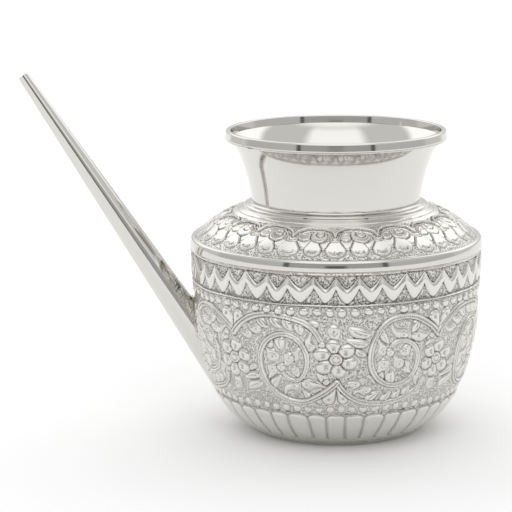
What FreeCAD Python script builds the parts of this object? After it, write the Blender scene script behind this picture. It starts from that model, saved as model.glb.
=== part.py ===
import FreeCAD, Part
import math
import os

# Spouted silver water pot. Sizes are in millimetres and angles in degrees.
# The pot stands on z = 0 with its axis on Z, and the spout leans towards -X.

# Base and foot
base_thickness = 1.0
base_lip = 0.5              # how far the foot ring stands above the base disc
foot_width = 2.6            # radial width of the foot ring where it stands
foot_flare = 2.5            # how much further out the foot ring reaches under the bowl

# Bowl and shoulder sheet
sheet = 0.9
brow_radius = 51.2          # top of the straight wall, the widest place
brow_height = 64.0
waist_inset = 1.2           # the wall's foot, where the belly begins, inside the brow
waist_height = 42.0
turn_inset = 6.7            # where the belly passes into the bottom curve, inside the brow
turn_height = 16.9
seat_inset = 13.6           # the bowl's edge on the foot ring, inside the turn

# Seam of bowl and shoulder, and the band over it
band_thickness = 1.2
lap_height = 1.8            # bowl edge under the band
skirt_height = 1.8          # shoulder edge under the band
band_top_round = 0.8
band_bottom_round = 0.4

# Shoulder dome
shoulder_rise = 12.5        # from the band to the hole for the neck
shoulder_crown = 1.5        # bulge of the dome above its chord

# Neck and the ring round its root
neck_sheet = 0.9
neck_ring_width = 4.8
neck_ring_height = 1.1
neck_ring_crown = 0.6
neck_root_radius = 29.5
neck_lean = 8.5             # slope of the neck's root from the vertical
neck_tuck = 0.8             # length of the neck that shows inside the dome
neck_waist_spread = 3.4     # how much wider the neck is where its flare begins
neck_waist_rise = 13.5
neck_flare_spread = 4.4     # how much wider again at the lip
neck_flare_rise = 7.1

# Lip ring
rim_overhang = 1.1
rim_height = 2.9
rim_outer_round = 0.7
rim_inner_round = 1.0

# Spout
spout_wall = 0.7
spout_heel_height = 17.0    # where the spout's lower edge meets the bowl
spout_heel_cover = 1.5      # how far the tube runs on into the wall there
spout_tilt = 33.25          # lean of the axis from the vertical
spout_length = 125.3        # from the heel to the tip, along the axis
spout_root_diameter = 11.4  # at the heel
spout_tip_diameter = 3.8

# Hard solder
solder_leg = 0.6

# Heights and radii that follow from the sizes above
foot_height = base_thickness + base_lip
waist_radius = brow_radius - waist_inset
turn_radius = brow_radius - turn_inset
seat_radius = turn_radius - seat_inset
foot_radius = seat_radius - foot_flare
base_radius = foot_radius - foot_width
seam_radius = brow_radius - band_thickness
band_bottom = brow_height + band_thickness
seam_height = band_bottom + lap_height
skirt_top = seam_height + skirt_height
shoulder_top = skirt_top + shoulder_rise
neck_root_height = shoulder_top + neck_ring_height
neck_waist_height = neck_root_height + neck_waist_rise
neck_waist_radius = neck_root_radius + neck_waist_spread
neck_top = neck_waist_height + neck_flare_rise
neck_mouth_radius = neck_waist_radius + neck_flare_spread
rim_radius = neck_mouth_radius + rim_overhang


def vec(r, z):
    return FreeCAD.Vector(r, 0, z)


def tangent_arc(start, heading, end):
    """Circle that leaves start along heading and reaches end: its centre, radius and heading at end."""
    chord = end - start
    side = vec(-heading.z, heading.x)
    signed_radius = chord.dot(chord) / (2 * chord.dot(side))
    centre = start + side * signed_radius
    along = chord.normalize()
    end_heading = along * (2 * heading.dot(along)) - heading
    return centre, abs(signed_radius), end_heading


def inset_corner(corner, heading_in, heading_out, inset):
    """Corner of an outline that is drawn upwards, moved inwards from both of its edges."""
    side_in = vec(-heading_in.z, heading_in.x)
    side_out = vec(-heading_out.z, heading_out.x)
    return corner + (side_in + side_out) * (inset / (1 + side_in.dot(side_out)))


def rescaled(centre, point, radius):
    """Point on the circle of that radius, on the same ray from the centre."""
    ray = point - centre
    return centre + ray * (radius / ray.Length)


def line(a, b):
    return Part.LineSegment(a, b).toShape()


def arc(centre, a, b):
    """Shorter arc about centre from a to b."""
    middle = rescaled(centre, (a + b) * 0.5, (a - centre).Length)
    return Part.Arc(a, middle, b).toShape()


def polyline(points):
    return [line(a, b) for a, b in zip(points, points[1:])]


def revolve(edges):
    """Solid of revolution about Z of the closed outline that the edges make."""
    face = Part.Face(Part.Wire(edges))
    return face.revolve(FreeCAD.Vector(0, 0, 0), FreeCAD.Vector(0, 0, 1), 360)


def spun(points):
    """Solid of revolution of a closed polygon."""
    return revolve(polyline(points + points[:1]))


def bulged(a, b, crown):
    """Arc from a to b whose middle stands crown to the right of its chord."""
    chord = b - a
    side = vec(chord.z, -chord.x).normalize()
    return Part.Arc(a, (a + b) * 0.5 + side * crown, b).toShape()


def rounded_rim(solid, radius_at):
    """Fillet each circular edge named in radius_at, a list of (r, z, fillet radius)."""
    for r, z, fillet in radius_at:
        edges = [edge for edge in solid.Edges
                 if isinstance(edge.Curve, Part.Circle)
                 and math.isclose(edge.Curve.Radius, r, abs_tol=1e-6)
                 and math.isclose(edge.Curve.Center.z, z, abs_tol=1e-6)]
        solid = solid.makeFillet(fillet, edges)
    return solid


# Bowl

brow = vec(brow_radius, brow_height)
waist = vec(waist_radius, waist_height)
turn = vec(turn_radius, turn_height)
seat = vec(seat_radius, foot_height)
step = vec(seam_radius, band_bottom)
upright = vec(0, 1)
wall_heading = (brow - waist).normalize()
step_heading = (step - brow).normalize()
belly_centre, belly_radius, turn_heading = tangent_arc(waist, wall_heading * -1, turn)
bottom_centre, bottom_radius, _ = tangent_arc(turn, turn_heading, seat)


def bottom_point(inset, z):
    """Point of the bowl's bottom curve at height z, inset from the outer face."""
    drop = z - bottom_centre.z
    return vec(bottom_centre.x + math.sqrt((bottom_radius - inset) ** 2 - drop ** 2), z)


def bowl_radius(z):
    """Outer radius of the bowl at a height below its brow."""
    if z > waist_height:
        return waist_radius + (z - waist_height) * wall_heading.x / wall_heading.z
    if z > turn_height:
        return belly_centre.x + math.sqrt(belly_radius ** 2 - (z - belly_centre.z) ** 2)
    return bottom_point(0, z).x


def bowl_body(inset):
    """Bowl as a full body, from the foot to the seam, inset from its outer face."""
    foot_point = bottom_point(inset, foot_height)
    turn_point = rescaled(bottom_centre, turn, bottom_radius - inset)
    waist_point = rescaled(belly_centre, waist, belly_radius - inset)
    brow_point = inset_corner(brow, wall_heading, step_heading, inset)
    step_point = inset_corner(step, step_heading, upright, inset)
    seam_point = vec(seam_radius - inset, seam_height)
    outline = polyline([vec(0, foot_height), foot_point])
    outline.append(arc(bottom_centre, foot_point, turn_point))
    outline.append(arc(belly_centre, turn_point, waist_point))
    outline += polyline([waist_point, brow_point, step_point, seam_point,
                         vec(0, seam_height), vec(0, foot_height)])
    return revolve(outline)


# Shoulder dome

dome_foot = vec(seam_radius, skirt_top)
dome_hole_radius = neck_root_radius - neck_sheet
dome_chord = vec(dome_hole_radius, shoulder_top) - dome_foot
dome_radius = (dome_chord.Length ** 2 / 4 + shoulder_crown ** 2) / (2 * shoulder_crown)
dome_side = vec(dome_chord.z, -dome_chord.x).normalize()
dome_centre = dome_foot + dome_chord * 0.5 + dome_side * (shoulder_crown - dome_radius)


def dome_height(r, inset):
    """Height of the dome at radius r, inset from the outer face."""
    return dome_centre.z + math.sqrt((dome_radius - inset) ** 2 - (r - dome_centre.x) ** 2)


def dome_body(inset):
    """Shoulder dome as a full body above the seam, inset from its outer face."""
    edge_radius = seam_radius - inset
    edge_point = vec(edge_radius, dome_height(edge_radius, inset))
    hole_point = vec(dome_hole_radius, dome_height(dome_hole_radius, inset))
    outline = polyline([vec(0, seam_height), vec(edge_radius, seam_height), edge_point])
    outline.append(arc(dome_centre, edge_point, hole_point))
    outline += polyline([hole_point, vec(0, hole_point.z), vec(0, seam_height)])
    return revolve(outline)


# Neck

lean_heading = vec(math.sin(math.radians(neck_lean)), math.cos(math.radians(neck_lean)))
lean_slope = lean_heading.x / lean_heading.z
neck_root = vec(neck_root_radius, neck_root_height)
neck_waist = vec(neck_waist_radius, neck_waist_height)
neck_mouth = vec(neck_mouth_radius, neck_top)
neck_bottom = dome_height(dome_hole_radius, sheet) - neck_tuck
stem_centre, stem_radius, waist_heading = tangent_arc(neck_root, lean_heading, neck_waist)
flare_centre, flare_radius, _ = tangent_arc(neck_waist, waist_heading, neck_mouth)


def flare_point(inset, z):
    """Point of the neck's flare at height z, inset from the outer face."""
    drop = z - flare_centre.z
    return vec(flare_centre.x - math.sqrt((flare_radius + inset) ** 2 - drop ** 2), z)


def neck_root_at(inset, z):
    """Point of the neck's straight root at height z, inset from the outer face."""
    return vec(neck_root_radius + (z - neck_root_height) * lean_slope - inset / lean_heading.z, z)


def neck_body(inset):
    """Neck as a full body, from inside the dome to the lip ring, inset from its outer face."""
    bottom = neck_root_at(inset, neck_bottom)
    root = rescaled(stem_centre, neck_root, stem_radius + inset)
    waist_point = rescaled(stem_centre, neck_waist, stem_radius + inset)
    mouth = flare_point(inset, neck_top)
    outline = polyline([vec(0, neck_bottom), bottom, root])
    outline.append(arc(stem_centre, root, waist_point))
    outline.append(arc(flare_centre, waist_point, mouth))
    outline += polyline([mouth, vec(0, neck_top), vec(0, neck_bottom)])
    return revolve(outline)


# Spout

tilt = math.radians(spout_tilt)
spout_axis = vec(-math.sin(tilt), math.cos(tilt))
spout_across = vec(math.cos(tilt), math.sin(tilt))
spout_heel = vec(-bowl_radius(spout_heel_height), spout_heel_height)
spout_root = spout_heel + spout_across * (spout_root_diameter / 2)
spout_taper = (spout_root_diameter - spout_tip_diameter) / (2 * spout_length)


def spout_cone(inset):
    """Spout's tapered body, inset from its outer face, from inside the bowl's wall to the tip."""
    start_radius = spout_root_diameter / 2 + spout_taper * spout_heel_cover - inset
    tip_radius = spout_tip_diameter / 2 - inset
    start = spout_root - spout_axis * spout_heel_cover
    return Part.makeCone(start_radius, tip_radius, spout_heel_cover + spout_length, start, spout_axis)


reach = brow_radius + spout_length      # farther from the origin than any piece
half_space = Part.makeBox(2 * reach, reach, 2 * reach, FreeCAD.Vector(-reach, 0, -reach))


def in_two_halves(solid):
    """The same solid, with its faces divided on the plane of symmetry so that their outlines are plain."""
    half = solid.common(half_space)
    return half.fuse(half.mirror(FreeCAD.Vector(0, 0, 0), FreeCAD.Vector(0, 1, 0)))


bowl_outside = bowl_body(0)
bowl_inside = bowl_body(sheet)
dome_outside = dome_body(0)
dome_inside = dome_body(sheet)
neck_outside = neck_body(0)
spout_outside = spout_cone(0)
spout_bore = spout_cone(spout_wall)


def base_disc():
    return Part.makeCylinder(base_radius, base_thickness)


def foot_ring():
    return spun([vec(base_radius, 0), vec(foot_radius, 0),
                 vec(seat_radius, foot_height), vec(base_radius, foot_height)])


def bowl():
    return in_two_halves(bowl_outside.cut(bowl_inside).cut(spout_bore))


def shoulder_dome():
    return dome_outside.cut(dome_inside).cut(neck_outside)


def shoulder_band():
    inner = seam_radius - sheet / 2
    blank = spun([vec(inner, band_bottom), vec(brow_radius, band_bottom),
                  vec(brow_radius, skirt_top), vec(inner, skirt_top)])
    blank = rounded_rim(blank, [(brow_radius, band_bottom, band_bottom_round),
                                (brow_radius, skirt_top, band_top_round)])
    return blank.cut(bowl_outside).cut(dome_outside)


def neck_ring():
    outer_radius = neck_root_radius + neck_ring_width
    outer = vec(outer_radius, dome_height(outer_radius, 0))
    inner_radius = dome_hole_radius
    outline = polyline([vec(inner_radius, outer.z), outer])
    outline.append(bulged(outer, neck_root, neck_ring_crown))
    outline += polyline([neck_root, vec(inner_radius, neck_root_height), vec(inner_radius, outer.z)])
    return revolve(outline).cut(dome_outside).cut(neck_outside)


def neck_collar():
    return neck_outside.cut(neck_body(neck_sheet))


def rim_ring():
    inner = flare_point(neck_sheet, neck_top).x
    rim_top = neck_top + rim_height
    blank = spun([vec(inner, neck_top), vec(rim_radius, neck_top),
                  vec(rim_radius, rim_top), vec(inner, rim_top)])
    return rounded_rim(blank, [(rim_radius, neck_top, rim_outer_round),
                               (rim_radius, rim_top, rim_outer_round),
                               (inner, rim_top, rim_inner_round)])


def spout_tube():
    return in_two_halves(spout_outside.cut(spout_bore).cut(bowl_outside))


def base_solder():
    """Fillet between the base disc and the foot ring's inner wall."""
    return spun([vec(base_radius - solder_leg, base_thickness), vec(base_radius, base_thickness),
                 vec(base_radius, foot_height)])


def foot_solder():
    """Fillet between the foot ring's top and the bowl's inner face."""
    corner = bottom_point(sheet, foot_height)
    upper = bottom_point(sheet, foot_height + solder_leg)
    blank = spun([corner - vec(solder_leg, 0), vec(upper.x, foot_height), upper])
    return blank.common(bowl_inside)


def shoulder_solder():
    """Low bead over the seam of bowl and dome, on the inside."""
    face_radius = seam_radius - sheet
    low = vec(face_radius, seam_height - solder_leg)
    high = vec(face_radius, seam_height + solder_leg)
    return revolve([line(low, high), bulged(high, low, solder_leg / 2)])


def neck_solder():
    """Fillet between the dome's inner face and the end of the neck."""
    low = neck_root_at(0, neck_bottom)
    far_radius = low.x + solder_leg
    far = vec(far_radius, dome_height(far_radius, sheet))
    blank = spun([low, far, vec(far_radius, shoulder_top), vec(low.x, shoulder_top)])
    return blank.common(dome_inside).cut(neck_outside)


def rim_solder():
    """Fillet under the lip ring, against the neck's outer face."""
    low = flare_point(0, neck_top - solder_leg)
    reach = min(solder_leg, rim_overhang - rim_outer_round)
    blank = spun([low, neck_mouth + vec(reach, 0), vec(low.x, neck_top)])
    return blank.cut(neck_outside)


def spout_solder():
    """Collar of solder round the spout's root, against the bowl's outer face."""
    collar = spout_cone(-solder_leg).common(bowl_body(-solder_leg))
    return in_two_halves(collar.cut(bowl_outside).cut(spout_outside))


PIECES = [base_disc, foot_ring, bowl, shoulder_dome, shoulder_band, neck_ring, neck_collar, rim_ring,
          spout_tube, base_solder, foot_solder, shoulder_solder, neck_solder, rim_solder, spout_solder]

os.makedirs("parts", exist_ok=True)
for piece in PIECES:
    solids = piece().Solids
    node = piece.__name__
    if len(solids) != 1 or not solids[0].isValid():
        raise ValueError(node + " is not one sound solid")
    solids[0].exportStep("parts/" + node + ".step")
    print(node, round(solids[0].Volume, 2), "mm3")
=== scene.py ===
"""Looks of the spouted silver water pot: chased bowl and shoulder, polished neck, rings and spout."""
import math

import bpy
import numpy as np
from bpy.props import FloatProperty, FloatVectorProperty, IntProperty, PointerProperty
from mathutils import Matrix, Vector


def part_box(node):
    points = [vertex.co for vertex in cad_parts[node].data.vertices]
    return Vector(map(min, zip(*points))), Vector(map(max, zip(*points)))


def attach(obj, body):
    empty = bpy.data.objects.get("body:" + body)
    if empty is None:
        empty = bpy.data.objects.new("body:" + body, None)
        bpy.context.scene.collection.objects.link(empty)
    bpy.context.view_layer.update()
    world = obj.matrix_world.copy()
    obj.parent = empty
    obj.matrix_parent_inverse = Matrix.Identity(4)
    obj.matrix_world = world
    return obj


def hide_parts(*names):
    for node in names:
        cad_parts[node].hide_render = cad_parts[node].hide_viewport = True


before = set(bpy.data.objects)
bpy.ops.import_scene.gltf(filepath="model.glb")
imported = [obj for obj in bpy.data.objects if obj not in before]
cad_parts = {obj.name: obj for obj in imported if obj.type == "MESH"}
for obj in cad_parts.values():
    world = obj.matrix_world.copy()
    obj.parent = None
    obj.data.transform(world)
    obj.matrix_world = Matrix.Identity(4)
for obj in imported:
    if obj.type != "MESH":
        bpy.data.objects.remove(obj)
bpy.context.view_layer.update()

bl_info = {
    "name": "Silver Water Pot",
    "version": (1, 0, 0),
    "blender": (4, 5, 0),
    "location": "View3D > Sidebar > Water Pot",
    "description": "Models the chased and polished silver of a spouted water pot round its CAD frame",
    "category": "Mesh",
}

MM = 0.001
BODY = "root"


def linear(code):
    """Linear colour of an sRGB hex code."""
    parts = [int(code[i:i + 2], 16) / 255 for i in (0, 2, 4)]
    return [c / 12.92 if c <= 0.04045 else ((c + 0.055) / 1.055) ** 2.4 for c in parts]


def size(label, words, default):
    """Length in metres that a user may change."""
    return FloatProperty(name=label, description=words, default=default, unit="LENGTH", precision=5)


def colour(label, words, code):
    """Colour that a user may change, from an sRGB hex code."""
    return FloatVectorProperty(name=label, description=words, default=linear(code), subtype="COLOR")


class PotSizes(bpy.types.PropertyGroup):
    """Sizes of the pot's walls. Those that the frame holds are read from it."""

    seat_radius: size("Seat radius", "Edge of the bowl on the foot ring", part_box("foot_ring")[1].x)
    seat_height: size("Seat height", "Top of the foot ring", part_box("foot_ring")[1].z)
    foot_radius: size("Foot radius", "Foot ring where it stands", 28.4 * MM)
    foot_width: size("Foot width", "Radial width of the foot ring where it stands", 2.6 * MM)
    turn_radius: size("Turn radius", "Where the belly passes into the bottom curve", 44.5 * MM)
    turn_height: size("Turn height", "Height of that place", 16.9 * MM)
    waist_radius: size("Waist radius", "Foot of the straight wall", 50.0 * MM)
    waist_height: size("Waist height", "Height of that place", 42.0 * MM)
    brow_radius: size("Brow radius", "Widest place, at the top of the wall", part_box("bowl")[1].x)
    brow_height: size("Brow height", "Height of the widest place", 64.0 * MM)
    band_bottom: size("Band bottom", "Lower edge of the shoulder band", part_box("shoulder_band")[0].z)
    band_top: size("Band top", "Upper edge of the shoulder band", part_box("shoulder_band")[1].z)
    seam_radius: size("Seam radius", "Bowl and dome under the band", 50.0 * MM)
    dome_hole: size("Dome hole", "Radius of the hole for the neck", 28.6 * MM)
    dome_top: size("Dome top", "Height of the dome at that hole", 80.1 * MM)
    dome_crown: size("Dome crown", "Bulge of the dome above its chord", 1.8 * MM)
    root_radius: size("Neck root", "Radius of the neck where it leaves the ring", 29.5 * MM)
    root_height: size("Neck root height", "Height of that place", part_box("neck_ring")[1].z)
    neck_waist: size("Neck waist", "Radius of the neck where its flare begins", 32.9 * MM)
    neck_waist_height: size("Neck waist height", "Height of that place", 95.9 * MM)
    mouth_radius: size("Mouth radius", "Radius of the neck under the lip ring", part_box("neck_collar")[1].x)
    mouth_height: size("Mouth height", "Underside of the lip ring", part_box("neck_collar")[1].z)
    neck_foot: size("Neck foot", "Lower end of the neck, inside the dome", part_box("neck_collar")[0].z)
    rim_radius: size("Rim radius", "Outer face of the lip ring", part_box("rim_ring")[1].x)
    rim_top: size("Rim top", "Top of the lip ring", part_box("rim_ring")[1].z)
    wall: size("Wall", "Thickness of the sheet", 0.9 * MM)
    spout_heel: size("Spout heel", "Height where the spout's lower edge meets the bowl", 17.0 * MM)
    spout_length: size("Spout length", "From the heel to the tip, along the axis", 125.3 * MM)
    spout_root: size("Spout root", "Diameter at the heel", 12.6 * MM)
    spout_tip: size("Spout tip", "Diameter at the tip", 3.8 * MM)
    spout_proud: size("Spout proud", "How far the spout's heel stands off the bowl", 0.9 * MM)
    spout_wall: size("Spout wall", "Thickness of the spout's tube", 0.7 * MM)
    neck_lean: FloatProperty(name="Neck lean", description="Slope of the neck's root from the vertical",
                             default=math.radians(8.5), subtype="ANGLE")
    spout_tilt: FloatProperty(name="Spout tilt", description="Lean of the spout from the vertical",
                              default=math.radians(33.25), subtype="ANGLE")


class PotChasing(bpy.types.PropertyGroup):
    """Ornament: how often each form repeats round the pot, and how far it stands out."""

    flute_count: IntProperty(name="Flutes", description="Lobes round the bottom", default=40)
    flower_pairs: IntProperty(name="Flower pairs", description="Repeats of the scroll frieze", default=4)
    bead_count: IntProperty(name="Beads", description="Beads in each row", default=72)
    tongue_count: IntProperty(name="Tongues", description="Points of the wavy border", default=40)
    arch_count: IntProperty(name="Arches", description="Scallops round the shoulder", default=18)
    rise: size("Rise", "Height of a raised form above its ground", 0.8 * MM)
    ground: size("Ground", "Depth of the punched ground under the wall's own face", 0.6 * MM)
    outline: size("Outline", "Width of the chased line round each form", 0.26 * MM)
    outline_depth: size("Outline depth", "Depth of that line", 0.28 * MM)
    stipple: size("Stipple", "Spacing of the punch marks on the ground", 0.6 * MM)


class PotFinish(bpy.types.PropertyGroup):
    """Colours of the silver and of the stage."""

    silver: colour("Silver", "Rubbed tops of the chased silver", "E3E1DC")
    buffed: colour("Buffed silver", "Plain polished silver with the faint grey of age", "DBD9D4")
    # Painted shade: this colour darkens the hollows, punch marks and ground as their shade, besides their
    # tarnish
    patina_and_shade: colour("Patina", "Tarnish left in the recesses", "7B7873")
    solder: colour("Solder", "Hard solder, a little duller than the sheet", "DAD6CE")
    floor: colour("Floor", "Pale sweep under the pot", "FDFDFD")


# Lines and walls

def circle(angles):
    """Points of the unit circle at these angles."""
    return np.stack([np.cos(angles), np.sin(angles)], -1)


def arc_between(centre, start, end, count):
    """Points of the shorter arc about centre from start to end, both included."""
    first_arm, last_arm = np.subtract(start, centre), np.subtract(end, centre)
    first = math.atan2(first_arm[1], first_arm[0])
    turn = (math.atan2(last_arm[1], last_arm[0]) - first + math.pi) % (2 * math.pi) - math.pi
    return np.add(centre, np.hypot(*first_arm) * circle(first + turn * np.linspace(0, 1, count)))


def tangent_arc(start, heading, end, count=40):
    """Points of the arc that leaves start along heading and reaches end, and the heading at its end."""
    chord = np.subtract(end, start)
    side = np.array([-heading[1], heading[0]])
    centre = np.add(start, side * (chord @ chord / (2 * chord @ side)))
    along = chord / np.hypot(*chord)
    return arc_between(centre, start, end, count), along * (2 * np.dot(heading, along)) - heading


def bezier(start, control, end, count=24):
    """Points of the curve that leaves start towards control and reaches end from it."""
    start, control, end = [np.asarray(place, float) for place in (start, control, end)]
    t = np.linspace(0, 1, count)[:, None]
    return (1 - t) ** 2 * start + 2 * t * (1 - t) * control + t ** 2 * end


class Profile:
    """Line up a wall in (radius, height), in mm, read by the distance along it."""

    def __init__(self, points):
        points = np.asarray(points, float)
        # two stretches share the point where they meet, which counts once
        fresh = np.hypot(*np.diff(points, axis=0).T) > 1e-6
        self.points = points[np.concatenate([[True], fresh])]
        self.along = np.concatenate([[0], np.cumsum(np.hypot(*np.diff(self.points, axis=0).T))])
        heading = np.gradient(self.points, self.along, axis=0)
        self.normal = np.stack([heading[:, 1], -heading[:, 0]], 1) / np.hypot(*heading.T)[:, None]

    def at_height(self, height):
        """Distance along a wall that climbs as it goes."""
        return np.interp(height, self.points[:, 1], self.along)

    def at_radius(self, radius):
        """Distance along a wall that closes in as it goes."""
        return np.interp(-radius, -self.points[:, 0], self.along)

    def lifted(self, along, lift):
        """Radius and height at a distance along the wall, moved outwards by lift."""
        place = [np.interp(along, self.along, self.points[:, k]) for k in (0, 1)]
        out = [np.interp(along, self.along, self.normal[:, k]) for k in (0, 1)]
        return place[0] + out[0] * lift, place[1] + out[1] * lift


SEAM_TUCK, DOME_TUCK = 0.5, 1.0     # what bowl and dome run on under the band, in mm


def bowl_profile(sizes):
    """Outer line of the bowl from the foot ring to the seam under the band."""
    seat, turn, waist, brow = [np.array(p) / MM for p in (
        (sizes.seat_radius, sizes.seat_height), (sizes.turn_radius, sizes.turn_height),
        (sizes.waist_radius, sizes.waist_height), (sizes.brow_radius, sizes.brow_height))]
    wall = (brow - waist) / np.hypot(*(brow - waist))
    belly, heading = tangent_arc(waist, -wall, turn)
    bottom, _ = tangent_arc(turn, heading, seat)
    step = np.array((sizes.seam_radius, sizes.band_bottom)) / MM
    straight = np.linspace(waist, brow, 30)
    return Profile([*bottom[::-1], *belly[::-1], *straight, *np.linspace(brow, step, 6),
                    step + (0, SEAM_TUCK)])


def dome_profile(sizes):
    """Outer line of the shoulder dome from the band to the neck."""
    foot = np.array((sizes.seam_radius, sizes.band_top)) / MM
    hole = np.array((sizes.dome_hole, sizes.dome_top)) / MM
    crown = sizes.dome_crown / MM
    chord = hole - foot
    half = np.hypot(*chord) / 2
    radius = (half ** 2 + crown ** 2) / (2 * crown)
    side = np.array([chord[1], -chord[0]]) / (2 * half)
    centre = (foot + hole) / 2 + side * (crown - radius)
    return Profile([foot - (0, DOME_TUCK), *arc_between(centre, foot, hole, 60)])


# Chased relief

# All in mm, apart from a rise, which is a share of the common one
GRID, FLUTE_GRID = 0.2, 0.3                 # spacing of the heights that are drawn
GROOVE, GROOVE_DEPTH = 0.34, 0.6            # line along a stem
VEIN, VEIN_DEPTH = 0.24, 0.32               # line along a leaf
CRESCENT_DEPTH, DOT_DEPTH, BUD_DEPTH = 0.34, 0.45, 0.4  # punched into a round head and into a bud
LEAF_TIP, COMMA_STALK = 0.12, 0.4           # least half widths

# Heights on the bowl
FLUTE_FOOT, FLUTE_TOP = 3.4, 14.3
FRIEZE_LOW, FRIEZE_MIDDLE, FRIEZE_HIGH = 14.6, 33.8, 52.9
BEAD_ROWS = ((16.2, 0.6), (51.4, 0.95))     # height and rise of each row
WIRE_HEIGHT, BORDER_TOP = 53.7, 64.2
FOLD_PEAK, FOLD_VALLEY, FOLD_CREST, FOLD_TIP = 63.9, 59.5, 58.3, 54.4

# Forms on the bowl
FLUTE_ROUND = 2.0                           # rounding of a lobe's top, which its foot has half of
FLUTE_FLOOR, FLUTE_LIFT = -0.4, 0.45        # level between the lobes, and height of a lobe over it
FLUTE_GAP = 0.26                            # softness of a gap, as a share of half a lobe
FLUTE_FALL = 0.15                           # fall from a lobe's middle to its side, as a share of its height
FLUTE_TOP_EASE, FLUTE_FOOT_EASE = 0.8, 0.9  # how far from its ends a lobe has its full height
FLUTE_EDGE, FLUTE_EDGE_CUT = 0.35, 0.15     # line round a lobe's top
MARGIN_LIFT = -0.15                         # plain margin under the lobes
MARGIN_EDGE, MARGIN_CUT = 0.4, 0.35         # line between margin and lobes
BEAD = 1.5                                  # radius of a bead
WIRE, WIRE_LIFT = 0.32, 0.6                 # half width and height of the line under the wavy border
FOLD_RISE = 0.8
FOLD_LOWER_CLIMB, FOLD_CREST_CLIMB = 4.9, 2.3   # from a tongue's tip to the next peak
FOLD_UPPER_BEND, FOLD_LOWER_BEND = 1.4, 1.65    # powers that round its edges
ECHO_OFF, ECHO, ECHO_LIFT = 0.75, 0.25, 0.32    # thin raised line that follows its upper edge
BORDER_PLAIN = -0.1                         # lift above the border

# Radii and forms on the shoulder
ARCH_TOP, ARCH_FOOT = 36.7, 40.8
ARCH_LINES = ((0, 1.2, 0.5), (1.2, 0.7, 0.32))  # inset, rise and half width of an arch's two lines
SHOULDER_INNER, SHOULDER_OUTER = 36.1, 49.6     # plain beyond these
SHOULDER_PLAIN = -0.45                          # lift of the plain parts
SCALE_EDGE, SCALE_LINE = 0.45, 0.26             # round edge of a scale, and the line curled inside it
PRICK_MARGIN, PRICK = 0.35, 0.6                 # bare edge of a pricked scale, and how rough the rest is

# Mean radius of each border, which sets the length of a repeat
FLUTE_MEAN, FRIEZE_MEAN, BORDER_MEAN, SHOULDER_MEAN = 39.0, 48.5, 51.0, 42.0

# Triangles that each ring has at most, and how deep its plain inner face lies under the wall's own line
FLUTE_TRIANGLES, FRIEZE_TRIANGLES = 190000, 186000
BORDER_TRIANGLES, SHOULDER_TRIANGLES = 170000, 180000
BOWL_BACK, SHOULDER_BACK = 1.6, 1.4


def soft(distance, width):
    """Soft line: 1 along its middle, and next to nothing two widths off."""
    return np.exp(-(distance / width) ** 2)


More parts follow.
